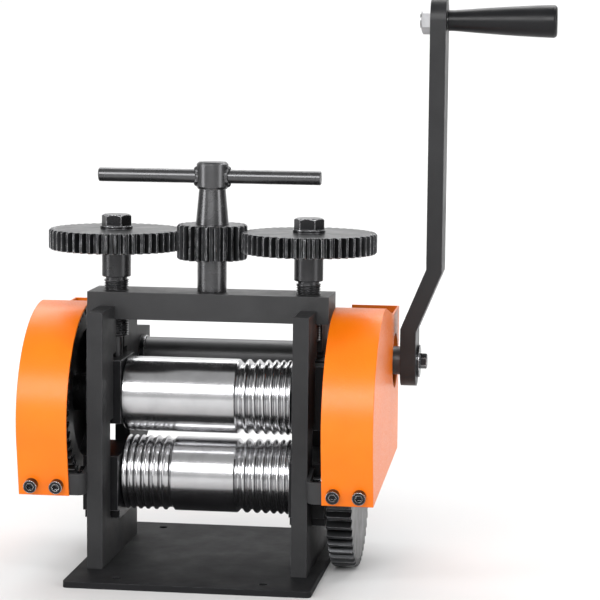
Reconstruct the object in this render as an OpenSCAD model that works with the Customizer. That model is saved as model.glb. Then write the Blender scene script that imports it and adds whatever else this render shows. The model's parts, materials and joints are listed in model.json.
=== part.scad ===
// Jewellers rolling mill: two rolls with half-round grooves, a flat and
// square wire grooves, hand cranked through spur gears.
// The rolls lie along X, the front is towards -Y, and Z is up.
// The origin is the centre of the base plate's underside.

/* [Base plate] */
// How far the base plate reaches past the side plates at each side
base_margin_x = 7.5; // [4:0.5:20]
// How far the base plate reaches past the side plates in front and behind
base_margin_y = 36; // [30:1:50]
// Thickness of the base plate
base_t = 4; // [3:0.5:8]
// Corner radius of the base plate
base_corner_r = 3; // [1:0.5:8]
// Radius of the bench bolt holes
base_hole_r = 2.9; // [2:0.1:3.5]
// Distance of the bench bolt holes from the base plate's sides
base_hole_inset_x = 31.5; // [30:0.5:40]
// Distance of the bench bolt holes from the base plate's front and rear
base_hole_inset_y = 14.5; // [8:0.5:24]

/* [Side plates] */
// Distance between the side plates' inner faces
plate_gap = 121; // [120.6:0.1:122]
// Thickness of each side plate
plate_t = 10; // [9:0.5:11]
// Depth of each side plate
plate_d = 106; // [100:1:108]
// Height of the side plates' top edge
plate_top_z = 168.5; // [168:0.5:170]
// Edge radius at the window's lower corners
window_corner_r = 6; // [3:0.5:8]
// Height of the window's sill
sill_z = 31; // [30.5:0.5:31]
// Height where the window narrows to the upper block's width
window_step_z = 96; // [94:0.5:98]
// Height where the window narrows to the screw's slot
slot_step_z = 138; // [137.5:0.5:139]
// Width of the screw's slot
slot_w = 25; // [22:0.5:28]
// Rear face of the shaft's ear
ear_rear_y = 95; // [94:0.5:98]
// Top of the shaft's ear, at the plate
ear_top_z = 147; // [146:0.5:149]
// Top of the shaft's ear, at its rear face
ear_rear_top_z = 142; // [140:0.5:146]
// Bottom of the shaft's ear
ear_bottom_z = 66; // [60:1:68]
// Radius of the ear's lower corner
ear_corner_r = 12; // [4:1:14]

/* [Top beam] */
// Length of the beam
beam_len = 157; // [150:1:158]
// Depth of the beam
beam_d = 35; // [32:1:36]
// Height of the beam
beam_h = 17.5; // [16:0.5:18]
// Depth of the notches that hold the beam
notch_h = 8.5; // [6:0.5:9]

/* [Rolls] */
// Roll diameter
roll_dia = 48.5; // [46:0.5:49]
// Length of the roll's body
roll_len = 110; // [109.6:0.1:110.4]
// Height of the lower roll's axis
lower_axis_z = 57.5; // [57.5:0.5:58]
// Gap between the rolls at rest
roll_gap = 3.5; // [3.5:0.1:4]
// Journal diameter
journal_dia = 22; // [20:0.5:23]
// Chamfer at the roll's ends
roll_chamfer = 0.8; // [0.3:0.1:0.9]
// Spacings of the half-round wire grooves, from the left end
round_pitch = [4.2, 4.5, 4.9, 5.5, 6.2, 7.0]; // [4:0.1:7]
// Opening of a half-round groove, as a share of its spacing
round_open_share = 0.9; // [0.8:0.02:0.94]
// Distance from the roll's end to the first half-round groove
round_groove_inset = 0.8; // [0.8:0.1:2]
// Depth of a half-round groove, as a share of its width
round_depth_share = 0.3; // [0.2:0.02:0.4]
// Spacings of the square wire grooves, from the largest
square_pitch = [7.0, 6.6, 5.8, 5.2, 4.8, 4.2, 3.4]; // [3:0.1:7]
// Distance from the roll's end to the smallest square wire groove
square_groove_inset = 0.2; // [0.2:0.1:1]
// Opening of a square wire groove, as a share of its spacing
square_open_share = 0.94; // [0.8:0.02:0.96]
// Depth of a square wire groove, as a share of its opening
square_depth_share = 0.38; // [0.3:0.02:0.46]

/* [Bearing blocks] */
// How far a block stands in from the plate
block_inset = 5; // [4:0.1:5]
// How far a block stands out from the plate
block_outset = 8; // [7:0.5:8]
// Width of the lower block
lower_block_w = 59.6; // [58:0.2:59.8]
// Height of the lower block's top
lower_block_top_z = 72.5; // [72:0.5:75]
// Width of the upper block
upper_block_w = 41.8; // [40:0.2:42]
// Upper block below its roll's axis
upper_block_below = 17.2; // [16:0.1:18]
// Upper block above its roll's axis
upper_block_above = 24; // [23:0.5:24.5]
// Outer diameter of the bushes
bush_dia = 26; // [25:0.5:28]

/* [Gears] */
// Module of the roll gears and their pinions
roll_gear_module = 2.25; // [2.2:0.01:2.25]
// Teeth of each roll gear
roll_gear_teeth = 48; // [48:1:48]
// Teeth of the pinions and the idler
pinion_teeth = 14; // [14:1:14]
// Width of the roll gears
roll_gear_w = 16; // [14:0.5:17]
// Depth of the recess in a roll gear's plate side
gear_recess = 8; // [4:0.5:8]
// Inner diameter of a roll gear's rim
gear_rim_dia = 84; // [76:1:86]
// Inner face of the roll gears
gear_x = 82.5; // [82:0.1:83]
// Distance of the crank shaft behind the rolls
shaft_y = 69; // [69:0.1:70]
// Height of the crank shaft
shaft_z = 126; // [126:0.5:127]
// Module of the disc gears and the key's pinion
disc_module = 1.75; // [1.7:0.05:1.8]
// Teeth of each disc gear
disc_teeth = 48; // [40:4:48]
// Teeth of the key's pinion
key_teeth = 24; // [20:4:24]
// Thickness of the disc gears
disc_t = 13; // [10:0.5:14]
// Height of the disc gears' underside
disc_z = 204; // [203:0.5:205]
// Tooth thinning that gives the gears their backlash
tooth_backlash = 0.12; // [0.05:0.01:0.2]

/* [Adjusting screws] */
// Diameter of the screw's thread
screw_dia = 16; // [14:0.5:17]
// Height where the screw's thread starts, above the neck
screw_thread_z = 147; // [146:0.5:148]
// Diameter of the screw's collar
screw_collar_dia = 18.8; // [17:0.2:20]
// Bottom of the screw's collar
screw_collar_z = 186; // [184:0.5:188]
// Diameter of the screw's neck
screw_neck_dia = 8; // [7:0.5:10]
// Diameter of the button under the neck
screw_button_dia = 14; // [12:0.5:15]
// Thickness of the button
screw_button_h = 4; // [3:0.5:5]
// Across flats of the screw's bolt head
screw_bolt_af = 17; // [13:1:17]
// Diameter of the washer on the disc gear
screw_washer_dia = 21; // [18:0.5:24]

/* [T key] */
// Length of the T bar
key_bar_len = 145; // [120:1:150]
// Diameter of the T bar
key_bar_dia = 9; // [8:0.5:10]
// Height of the T bar's axis
key_bar_z = 252; // [250:1:254]
// How far the T bar sits off centre
key_bar_shift = -2; // [-4:0.5:4]
// Diameter of the head that holds the bar
key_head_dia = 20.5; // [18:0.5:22]
// Top of the head
key_top_z = 261.4; // [259:0.2:264]
// Bottom of the head
key_head_z = 244; // [243:0.2:245]
// Diameter at the cone's top
key_cone_top_dia = 17.2; // [15:0.2:18]
// Diameter at the cone's foot
key_cone_dia = 21.4; // [20:0.2:23]
// Height of the cone's foot, on the pinion
key_cone_z = 221.1; // [220:0.1:223]
// Height of the pinion's underside
key_pinion_z = 198.6; // [197:0.2:200]
// Diameter of the collar below the pinion
key_collar_dia = 19; // [17:0.5:21]
// Diameter of the spigot in the beam
key_spigot_dia = 13.8; // [12:0.2:15]
// Length of the spigot in the beam
key_spigot_len = 12; // [8:0.5:14]

/* [Gear covers] */
// Thickness of the cover's sheet
sheet_t = 1.2; // [1:0.1:1.2]
// Inner edge of the covers
cover_inner_x = 80.5; // [80:0.1:81]
// Outer face of the covers
cover_outer_x = 113; // [112.5:0.1:114]
// Radius of the cover's round top
cover_r = 70.5; // [70:0.1:72]
// Round top's centre, front to back
cover_centre_y = 3.5; // [0:0.5:4]
// Round top's centre, height
cover_centre_z = 98.3; // [98.3:0.1:99]
// Lean of the straight run at the front
cover_lean = 10; // [8:0.5:11]
// Height of the cover's front bottom edge
cover_bottom_z = 52; // [50:0.5:52.5]
// Height of the cover's rear bottom edge
cover_rear_bottom_z = 62; // [58:0.5:64]
// Height of the rear wall's bottom edge, above the side panel's corner
cover_wall_bottom_z = 72; // [66:0.5:80]
// Outer face of the cover's rear wall
cover_rear_y = 93.8; // [93.6:0.1:95]
// Top of the cover's rear wall
cover_rear_top_z = 160; // [158:0.5:164]
// End of the round top, behind the rolls
cover_arc_end_y = 4; // [0:0.5:12]
// Lowest point of the side panel's top edge, front to back
cover_dip_y = 53; // [40:1:60]
// Lowest point of the side panel's top edge, height
cover_dip_z = 158.8; // [158:0.2:162]
// Diameter of the shaft's hole in the right cover
cover_shaft_hole_dia = 37; // [34:0.5:38]

/* [Cover brackets] */
// Height of the bracket's bar
bracket_h = 14; // [12:0.5:16]
// Thickness of the bracket's bar
bracket_t = 2.4; // [2:0.1:2.4]
// Height of the bracket's centre line at the front
bracket_z = 59; // [58:0.5:60]
// Length of the bracket's leg on the side plate
bracket_leg = 18; // [16:1:18]
// Spacing of the two cover screws
cover_screw_span = 16.5; // [14:0.5:18]
// Head diameter of the cover screws
cap_head_dia = 8.5; // [8:0.1:9]

/* [Crank] */
// Diameter of the crank shaft between the plates
shaft_dia = 22.5; // [21:0.5:24]
// Diameter of the shaft in its bushes
shaft_journal_dia = 20; // [19:0.5:20]
// Diameter of the shaft in its pinions
shaft_stub_dia = 19; // [18:0.5:19]
// Outer diameter of the shaft's bushes
shaft_bush_dia = 23; // [22.5:0.5:24]
// Side of the square that drives the arm
drive_square = 13; // [11:0.5:13]
// Thickness of the crank arm
arm_t = 10.4; // [9:0.2:12]
// Width of the crank arm
arm_w = 29; // [26:0.5:30]
// Inner face of the arm at the shaft
arm_x = 117.4; // [116:0.2:118]
// Offset of the arm's upper part
arm_offset = 16.6; // [12:0.2:20]
// Height of the arm's lower bend
arm_bend_low_z = 149; // [148:1:152]
// Height of the arm's upper bend
arm_bend_high_z = 189; // [186:1:194]
// Lower end of the arm
arm_bottom_z = 109.2; // [108:0.2:111]
// Upper end of the arm
arm_top_z = 368; // [340:1:380]
// Height of the grip's axis when the crank stands up
grip_z = 353; // [330:1:360]
// Length of the grip
grip_len = 72; // [60:1:80]
// Diameter of the grip at the arm
grip_neck_dia = 13.7; // [13:0.1:16]
// Largest diameter of the grip
grip_dia = 21.5; // [20:0.5:24]
// Across flats of the crank bolt
crank_bolt_af = 9; // [8:0.5:10]
// Diameter of the crank washer
crank_washer_dia = 21.7; // [20:0.1:24]
// Across flats of the grip's nut
grip_nut_af = 16; // [14:0.5:17]

/* [Fits] */
// Radial clearance of a journal in its bush
running_clearance = 0.05; // [0.03:0.01:0.08]
// Radial clearance of a screw in its thread or hole
thread_clearance = 0.04; // [0.02:0.01:0.08]
// Gap between faces that slide or turn past each other
face_gap = 0.4; // [0.3:0.05:0.5]
// Side gap of an upper block in its window
block_slide_gap = 0.3; // [0.25:0.05:0.4]
// Side gap of a lower block in its window
block_seat_gap = 0.2; // [0.1:0.05:0.3]

/* [Hidden] */

$fn = 96;
// Sides of a hexagon
hex_sides = 6;
// Flat top of a hexagonal head, as a share of its size across flats
hex_top_share = 0.95;
// How far a cut runs past the faces that it opens
overrun = 1;

// Gear teeth: pressure angle, points along a flank, and heights as shares of the module
pressure_angle = 20;
flank_points = 5;
addendum_share = 1;
dedendum_share = 1.25;
// Bevel of a gear's rim
rim_bevel = 1;
// Bore of the roll gears, and the feather keys that drive them
gear_bore_r = 10;
feather_w = 5;
feather_h = 4;
feather_end = 1.5;

// Points along an arc of an outline
arc_steps = 24;
cover_steps = 64;
groove_steps = 12;

// Countersunk base screws
base_screw_r = 3;
base_screw_head_r = 6;
base_screw_head_h = 3;
base_screw_len = 20;
base_screw_y = 36;
base_screw_sink = 0.3;

// Set screws that lock the beam, and their hexagon sockets
set_screw_r = 3;
set_screw_len = 12;
set_socket_af = 3;
set_socket_depth = 3;

// Blind spot holes below the left window
spot_hole_r = 1.3;
spot_hole_depth = 4;
spot_holes = [[-4, 26.7], [7, 26.5]];

// Flanges of the shaft's bushes
shaft_flange_r = 12.5;
shaft_flange_t = 3.5;
// Wall of the spacers beside the pinions
spacer_r = 12.5;

// Roll end bolts and washers
end_bolt_r = 4;
end_bolt_af = 13;
end_bolt_head = 5.3;
end_bolt_len = 20;
end_washer_r = 14;
end_washer_t = 2.5;
// Flange under the shaft's end bolt
end_flange_r = 13;
// Thrust sleeves between the blocks and the roll gears' webs
thrust_r = 12.5;

// Idler: stud in the ear, shoulder, bearing, bush and bolt
stud_r = 6;
stud_shoulder_r = 11;
stud_bearing_r = 7;
stud_nut_af = 19;
stud_nut_h = 7;
idler_bush_r = 10;
idler_bolt_r = 3;
idler_bolt_af = 10;
idler_bolt_head = 4;
idler_bolt_len = 14;
idler_washer_r = 11;
idler_washer_t = 2;

// Socket cap screws of the covers and their brackets
cap_screw_r = 2.5;
cap_head_h = 5;
cap_socket_af = 4;
cap_socket_depth = 2.8;
cap_screw_past = 0.3;
bracket_bend_r = 5;
bracket_screw_end = 5;
bracket_screw_span = 9;
bracket_screw_len = 9;
bracket_end_inset = 4;

// Adjusting screw details
screw_relief = 2;
screw_spigot_r = 7;
screw_bolt_r = 5;
screw_bolt_head = 7.4;
screw_bolt_len = 25;
screw_washer_t = 2;
slot_lip = 4;
thread_crest = 1;

// T key details
key_core_r = 7.5;
key_chamfer = 1.5;
key_bar_chamfer = 0.6;
key_neck_h = 0.5;

// Crank details
crank_washer_t = 2;
crank_bolt_head = 4.8;
crank_bolt_r = 3;
crank_bolt_len = 16;
grip_stud_r = 5;
grip_pin_r = 4.5;
grip_pin_len = 60;
grip_bead = 0.5;
grip_bead_len = 2;
grip_nut_h = 6.4;
grip_neck_len = 4;
grip_end_r = 2.5;

// Paint and metal colours
paint = [0.16, 0.16, 0.17];
orange = [0.86, 0.36, 0.10];
steel = [0.80, 0.80, 0.80];
dark_steel = [0.22, 0.22, 0.23];
bronze = [0.65, 0.50, 0.28];
black = [0.05, 0.05, 0.05];

// Places that follow from the sizes above
plate_in = plate_gap / 2;
plate_out = plate_in + plate_t;
plate_mid = plate_in + plate_t / 2;
plate_half_d = plate_d / 2;
base_w = 2 * (plate_out + base_margin_x);
base_d = plate_d + 2 * base_margin_y;
base_hole_span_x = base_w - 2 * base_hole_inset_x;
base_hole_span_y = base_d - 2 * base_hole_inset_y;
block_in = plate_in - block_inset;
block_out = plate_out + block_outset;
roll_r = roll_dia / 2;
roll_half = roll_len / 2;
journal_r = journal_dia / 2;
bush_r = bush_dia / 2;
upper_axis_z = lower_axis_z + roll_dia + roll_gap;
sill_w = lower_block_w + 2 * block_seat_gap;
window_w = upper_block_w + 2 * block_slide_gap;
beam_z = plate_top_z - notch_h;
beam_top_z = beam_z + beam_h;
block_top_z = upper_axis_z + upper_block_above;
gear_out_x = gear_x + roll_gear_w;
gear_web_x = gear_x + gear_recess;
shaft_bush_r = shaft_bush_dia / 2;
shaft_journal_r = shaft_journal_dia / 2;
shaft_stub_r = shaft_stub_dia / 2;
screw_x = disc_module * (disc_teeth + key_teeth) / 2;
screw_r = screw_dia / 2;
disc_top_z = disc_z + disc_t;
button_top_z = block_top_z - slot_lip - face_gap;
button_z = button_top_z - screw_button_h;
arm_out = arm_x + arm_t;
arm_top_x = arm_x + arm_offset;
cover_in = cover_outer_x - sheet_t;

// The idler sits one gear centre distance from the lower roll and one from the shaft
roll_to_pinion = roll_gear_module * (roll_gear_teeth + pinion_teeth) / 2;
pinion_to_pinion = roll_gear_module * pinion_teeth;
shaft_rise = shaft_z - lower_axis_z;
shaft_reach = norm([shaft_y, shaft_rise]);
idler_along = (pow(roll_to_pinion, 2) - pow(pinion_to_pinion, 2) + pow(shaft_reach, 2))
    / (2 * shaft_reach);
idler_across = sqrt(max(0, pow(roll_to_pinion, 2) - pow(idler_along, 2)));
idler_y = (idler_along * shaft_y + idler_across * shaft_rise) / shaft_reach;
idler_z = lower_axis_z + (idler_along * shaft_rise - idler_across * shaft_y) / shaft_reach;

// Direction from one gear's centre to the next, and the angles that put them in mesh
lower_to_idler = atan2(idler_z - lower_axis_z, idler_y);
idler_to_shaft = atan2(shaft_z - idler_z, shaft_y - idler_y);
shaft_to_upper = atan2(upper_axis_z - shaft_z, -shaft_y);
lower_gear_angle = 0;
idler_angle = mesh_angle(roll_gear_teeth, lower_gear_angle, lower_to_idler, pinion_teeth);
pinion_angle = mesh_angle(pinion_teeth, idler_angle, idler_to_shaft, pinion_teeth);
upper_gear_angle = mesh_angle(pinion_teeth, pinion_angle, shaft_to_upper, roll_gear_teeth);
right_disc_angle = mesh_angle(key_teeth, 0, 0, disc_teeth);
left_disc_angle = mesh_angle(key_teeth, 0, 180, disc_teeth);

// Angle at which a gear's teeth meet those of a first gear in the given direction
function mesh_angle(first_teeth, first_angle, direction, teeth) =
    direction + 180 + (180 - first_teeth * (first_angle - direction)) / teeth;

// Involute of an angle, in degrees
function involute(angle) = tan(angle) * 180 / PI - angle;

// Half the angle that a tooth fills at radius r
function half_tooth(teeth, pitch_r, r) =
    let(base_r = pitch_r * cos(pressure_angle),
        here = r > base_r ? acos(base_r / r) : 0)
    90 / teeth + involute(pressure_angle) - involute(here)
        - tooth_backlash / (2 * pitch_r) * 180 / PI;

// Outline of a gear, one tooth centred on the first axis
function gear_outline(teeth, size) =
    let(pitch_r = teeth * size / 2,
        tip_r = pitch_r + addendum_share * size,
        root_r = pitch_r - dedendum_share * size,
        flank_r = max(root_r, pitch_r * cos(pressure_angle)),
        step = (tip_r - flank_r) / (flank_points - 1),
        start = root_r < flank_r ? [root_r] : [],
        radii = concat(start, [for (i = [0:flank_points - 1]) flank_r + i * step]),
        last = len(radii) - 1)
    [for (tooth = [0:teeth - 1], side = [-1, 1], i = [0:last])
        let(r = radii[side < 0 ? i : last - i],
            angle = 360 * tooth / teeth + side * half_tooth(teeth, pitch_r, r))
        r * [cos(angle), sin(angle)]];

// Points of an arc round a centre
function arc(centre, r, from, to, steps = arc_steps) =
    [for (i = [0:steps])
        let(angle = from + (to - from) * i / steps)
        centre + r * [cos(angle), sin(angle)]];

// Sum of the first entries of a list
function sum_first(list, count) = count == 0 ? 0 : list[count - 1] + sum_first(list, count - 1);

// A half-round groove in the roll's outline, as points of radius and place
function round_groove(start, pitch) =
    let(open = round_open_share * pitch,
        depth = round_depth_share * open,
        r = (open * open / 4 + depth * depth) / (2 * depth),
        half = asin(open / (2 * r)),
        middle = start + pitch / 2)
    [for (i = [0:groove_steps])
        let(angle = half * (2 * i / groove_steps - 1))
        [roll_r - depth + r - r * cos(angle), middle + r * sin(angle)]];

// A square wire groove, cut as a V whose crests and bottom are rounded like a wave
function square_groove(start, pitch) =
    let(open = square_open_share * pitch,
        depth = square_depth_share * open)
    [for (i = [0:groove_steps])
        let(share = i / groove_steps)
        [roll_r - depth * pow(sin(180 * share), 2),
         start + (pitch - open) / 2 + share * open]];

round_start = round_groove_inset - roll_half;
square_start = roll_half - square_groove_inset - sum_first(square_pitch, len(square_pitch));
round_grooves = [for (i = [0:len(round_pitch) - 1])
    each round_groove(round_start + sum_first(round_pitch, i), round_pitch[i])];
square_grooves = [for (i = [0:len(square_pitch) - 1])
    each square_groove(square_start + sum_first(square_pitch, i), square_pitch[i])];

// Outline of the gear cover, seen along the rolls
cover_centre = [cover_centre_y, cover_centre_z];
cover_arc_end = acos((cover_arc_end_y - cover_centre_y) / cover_r);
cover_front = cover_front_point(cover_r, cover_bottom_z);
bracket_v = (bracket_z - cover_centre_z + cover_r * sin(cover_lean)) / cos(cover_lean);

// Point of the leaning front sheet at a given height
function cover_front_point(r, z) =
    let(run = (cover_centre_z - r * sin(cover_lean) - z) / cos(cover_lean))
    [cover_centre_y - r * cos(cover_lean) + run * sin(cover_lean), z];

// Lay a flat outline across the rolls and give it a thickness towards +X
module across(from_x, to_x) {
    translate([from_x, 0, 0])
        rotate([90, 0, 90])
            linear_extrude(to_x - from_x)
                children();
}

// Round bar along X
module x_bar(from_x, to_x, r) {
    translate([from_x, 0, 0])
        rotate([0, 90, 0])
            cylinder(h = to_x - from_x, r = r);
}

// Hexagonal head by its size across flats, the corners of its top turned off
module z_hex(height, flats) {
    top_r = hex_top_share * flats / 2;
    intersection() {
        cylinder(h = height, d = flats / cos(30), $fn = hex_sides);
        cylinder(h = height, r1 = top_r + height / tan(30), r2 = top_r);
    }
}

// Hexagonal head along X, from its seat to its top
module x_hex(seat_x, top_x, flats) {
    translate([seat_x, 0, 0])
        rotate([0, top_x > seat_x ? 90 : -90, 0])
            z_hex(abs(top_x - seat_x), flats);
}

// Ring along X
module x_ring(from_x, to_x, r, hole_r) {
    difference() {
        x_bar(from_x, to_x, r);
        x_bar(from_x - overrun, to_x + overrun, hole_r);
    }
}

// Block centred across the rolls, between two heights
module block(from_x, to_x, width, from_z, to_z) {
    translate([from_x, -width / 2, from_z])
        cube([to_x - from_x, width, to_z - from_z]);
}

// Move to one of the axes that lie along the rolls
module at_axis(y, z) {
    translate([0, y, z])
        children();
}

// Copy to both sides of the machine
module both_sides() {
    children();
    mirror([1, 0, 0])
        children();
}

// Spur gear along X with bevelled rims
module x_gear(teeth, size, from_x, to_x, angle) {
    tip_r = (teeth / 2 + addendum_share) * size;
    intersection() {
        translate([from_x, 0, 0])
            rotate([90, 0, 90])
                rotate([0, 0, angle])
                    linear_extrude(to_x - from_x)
                        polygon(gear_outline(teeth, size));
        bevelled_disc(tip_r, from_x, to_x);
    }
}

// Disc along X whose two edges are bevelled, to trim a gear's teeth
module bevelled_disc(r, from_x, to_x) {
    rotate([0, 90, 0])
        rotate_extrude()
            polygon([
                [0, from_x],
                [r - rim_bevel, from_x],
                [r, from_x + rim_bevel],
                [r, to_x - rim_bevel],
                [r - rim_bevel, to_x],
                [0, to_x]
            ]);
}

// Feather key along X in a shaft of radius r, or its pocket with some side gap
module feather(from_x, r, side_gap) {
    width = feather_w + 2 * side_gap;
    translate([from_x + feather_end, -width / 2, r - feather_h / 2 - side_gap])
        cube([gear_out_x - from_x - 2 * feather_end, width, feather_h + 2 * side_gap]);
}

// Keyway through a gear's bore
module keyway(r) {
    width = feather_w + 2 * thread_clearance;
    translate([gear_x - overrun, -width / 2, 0])
        cube([roll_gear_w + 2 * overrun, width, r + feather_h / 2 + thread_clearance]);
}

// Hexagon head bolt along X, its head from seat_x outwards
module x_bolt(seat_x, head, flats, r, len) {
    x_hex(seat_x, seat_x + head, flats);
    x_bar(seat_x - len, seat_x + thread_crest, r);
}

module base_plate() {
    color(paint)
    difference() {
        union() {
            block(-base_w / 2, base_w / 2, base_d - 2 * base_corner_r, 0, base_t);
            block(-base_w / 2 + base_corner_r, base_w / 2 - base_corner_r, base_d, 0, base_t);
            for (x = [-1, 1], y = [-1, 1])
                translate([x * (base_w / 2 - base_corner_r), y * (base_d / 2 - base_corner_r), 0])
                    cylinder(h = base_t, r = base_corner_r);
        }
        for (x = [-1, 1], y = [-1, 1])
            translate([x * base_hole_span_x / 2, y * base_hole_span_y / 2, -overrun])
                cylinder(h = base_t + 2 * overrun, r = base_hole_r);
        at_base_screws()
            base_screw(thread_clearance);
    }
}

// Places of the four screws that hold the side plates
module at_base_screws() {
    for (x = [-1, 1], y = [-1, 1])
        translate([x * plate_mid, y * base_screw_y, 0])
            children();
}

// Countersunk screw from below, or its hole with some clearance
module base_screw(clearance) {
    sink = clearance > 0 ? -overrun : base_screw_sink;
    head_r = base_screw_head_r + clearance;
    shank_r = base_screw_r + clearance;
    cone_z = base_screw_sink + base_screw_head_h;
    rotate_extrude()
        polygon([
            [0, sink],
            [head_r, sink],
            [head_r, base_screw_sink],
            [shank_r, cone_z],
            [shank_r, base_screw_len + clearance],
            [0, base_screw_len + clearance]
        ]);
}

module base_screws() {
    color(dark_steel)
    at_base_screws()
        base_screw(0);
}

// Side plate with its stepped window, screw slot, beam notch and shaft ear
module side_plate() {
    difference() {
        union() {
            block(plate_in, plate_out, plate_d, base_t, plate_top_z);
            across(plate_in, plate_out)
                polygon(concat(
                    [[0, ear_top_z], [0, ear_bottom_z]],
                    arc([ear_rear_y - ear_corner_r, ear_bottom_z + ear_corner_r],
                        ear_corner_r, -90, 0),
                    [[ear_rear_y, ear_rear_top_z], [plate_half_d, ear_top_z]]));
        }
        plate_window();
        x_cut_block(slot_w, base_t + sill_z, plate_top_z + overrun);
        x_cut_block(beam_d, beam_z, plate_top_z + overrun);
        at_axis(shaft_y, shaft_z)
            x_bar(plate_in - overrun, plate_out + overrun, shaft_bush_r);
        at_base_screws()
            base_screw(thread_clearance);
        at_set_screw()
            cylinder(h = plate_half_d + overrun, r = set_screw_r + thread_clearance);
        at_bracket_screws()
            cylinder(h = bracket_screw_len + thread_clearance, r = cap_screw_r + thread_clearance);
    }
}

// Cut through a side plate, centred across the rolls
module x_cut_block(width, from_z, to_z) {
    block(plate_in - overrun, plate_out + overrun, width, from_z, to_z);
}

// Window: wide at the lower block, narrow at the upper one
module plate_window() {
    corner = sill_w / 2 - window_corner_r;
    x_cut_block(sill_w, sill_z + window_corner_r, window_step_z);
    x_cut_block(2 * corner, sill_z, window_step_z);
    for (side = [-1, 1])
        at_axis(side * corner, sill_z + window_corner_r)
            x_bar(plate_in - overrun, plate_out + overrun, window_corner_r);
    x_cut_block(window_w, sill_z, slot_step_z);
}

// Set screws run forward through the plates' rear edge to the beam
module at_set_screw() {
    translate([plate_mid, beam_d / 2, beam_z + notch_h / 2])
        rotate([-90, 0, 0])
            children();
}

module left_side_plate() {
    color(paint)
    difference() {
        mirror([1, 0, 0])
            side_plate();
        for (spot = spot_holes)
            at_axis(spot[0], spot[1])
                x_bar(-plate_in - spot_hole_depth, -plate_in + overrun, spot_hole_r);
    }
}

module right_side_plate() {
    color(paint)
    difference() {
        side_plate();
        at_axis(idler_y, idler_z)
            x_bar(plate_in - overrun, plate_out + overrun, stud_r);
    }
}

module top_beam() {
    color(paint)
    difference() {
        block(-beam_len / 2, beam_len / 2, beam_d, beam_z, beam_top_z);
        for (side = [-1, 1])
            translate([side * screw_x, 0, beam_z - overrun])
                cylinder(h = beam_h + 2 * overrun, r = screw_r + running_clearance);
        translate([0, 0, beam_z - overrun])
            cylinder(h = beam_h + 2 * overrun, d = key_spigot_dia + 2 * running_clearance);
    }
}

module beam_set_screws() {
    color(dark_steel)
    both_sides()
        at_set_screw()
            difference() {
                cylinder(h = set_screw_len, r = set_screw_r);
                translate([0, 0, set_screw_len - set_socket_depth])
                    cylinder(h = set_screw_len, d = set_socket_af / cos(30), $fn = hex_sides);
            }
}

// Lower block, seated on the window's sill
module lower_block() {
    corner = sill_w / 2 - window_corner_r;
    foot_w = 2 * corner;
    difference() {
        union() {
            block(block_in, block_out, lower_block_w, sill_z + window_corner_r, lower_block_top_z);
            block(block_in, block_out, foot_w, sill_z, lower_block_top_z);
        }
        at_axis(0, lower_axis_z)
            x_bar(block_in - overrun, block_out + overrun, bush_r);
    }
}

module left_lower_block() {
    color(paint)
    mirror([1, 0, 0])
        lower_block();
}

module right_lower_block() {
    color(paint)
    lower_block();
}

// Upper block: slides in the window and hangs on its screw's button by a T slot
module upper_block() {
    difference() {
        block(block_in, block_out, upper_block_w, upper_axis_z - upper_block_below, block_top_z);
        at_axis(0, upper_axis_z)
            x_bar(block_in - overrun, block_out + overrun, bush_r);
        slot_cut(screw_neck_dia / 2 + face_gap, button_top_z, block_top_z + overrun);
        slot_cut(screw_button_dia / 2 + face_gap, button_z - face_gap, button_top_z + face_gap);
    }
}

// Slot with a round end under the screw, open at the block's outer face
module slot_cut(r, from_z, to_z) {
    translate([screw_x, 0, from_z])
        cylinder(h = to_z - from_z, r = r);
    block(screw_x, block_out + overrun, 2 * r, from_z, to_z);
}

module left_upper_block() {
    color(paint)
    mirror([1, 0, 0])
        upper_block();
}

module right_upper_block() {
    color(paint)
    upper_block();
}

module roll_bush() {
    x_ring(block_in, block_out, bush_r, journal_r + running_clearance);
}

module lower_bushes() {
    color(bronze)
    both_sides()
        at_axis(0, lower_axis_z)
            roll_bush();
}

module upper_bushes() {
    color(bronze)
    both_sides()
        at_axis(0, upper_axis_z)
            roll_bush();
}

// Roll with its journals; the gear sits on the stub at the +X end
module roll(grooves) {
    body = [[roll_r - roll_chamfer, -roll_half], [roll_r, -roll_half + roll_chamfer]];
    body_end = [[roll_r - roll_chamfer, roll_half]];
    difference() {
        rotate([90, 0, 90])
            rotate_extrude()
                polygon(concat(
                    [[0, -block_out], [journal_r, -block_out], [journal_r, -roll_half]],
                    body,
                    grooves,
                    body_end,
                    [[journal_r, roll_half], [journal_r, gear_web_x],
                     [gear_bore_r, gear_web_x], [gear_bore_r, gear_out_x],
                     [0, gear_out_x]]));
        feather(gear_web_x, gear_bore_r, thread_clearance);
        x_bar(gear_out_x - end_bolt_len - thread_clearance, gear_out_x + overrun,
            end_bolt_r + thread_clearance);
    }
}

// The same outline seen from the other end
function turned(points) = [for (i = [len(points) - 1:-1:0]) [points[i][0], -points[i][1]]];

module lower_roll() {
    color(steel)
    at_axis(0, lower_axis_z)
        roll(concat(round_grooves, square_grooves));
}

module upper_roll() {
    color(steel)
    at_axis(0, upper_axis_z)
        mirror([1, 0, 0])
            roll(turned(square_grooves));
}

// Large gear on the +X end of a roll, recessed on its plate side
module roll_gear(angle) {
    difference() {
        x_gear(roll_gear_teeth, roll_gear_module, gear_x, gear_out_x, angle);
        x_bar(gear_x - overrun, gear_web_x, gear_rim_dia / 2);
        x_bar(gear_x - overrun, gear_out_x + overrun, gear_bore_r);
        keyway(gear_bore_r);
    }
}

module lower_roll_gear() {
    color(paint)
    at_axis(0, lower_axis_z)
        roll_gear(lower_gear_angle);
}

module upper_roll_gear() {
    color(paint)
    at_axis(0, upper_axis_z)
        mirror([1, 0, 0])
            roll_gear(upper_gear_angle);
}

module lower_gear_key() {
    color(dark_steel)
    at_axis(0, lower_axis_z)
        feather(gear_web_x, gear_bore_r, 0);
}

module upper_gear_key() {
    color(dark_steel)
    at_axis(0, upper_axis_z)
        mirror([1, 0, 0])
            feather(gear_web_x, gear_bore_r, 0);
}

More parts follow.
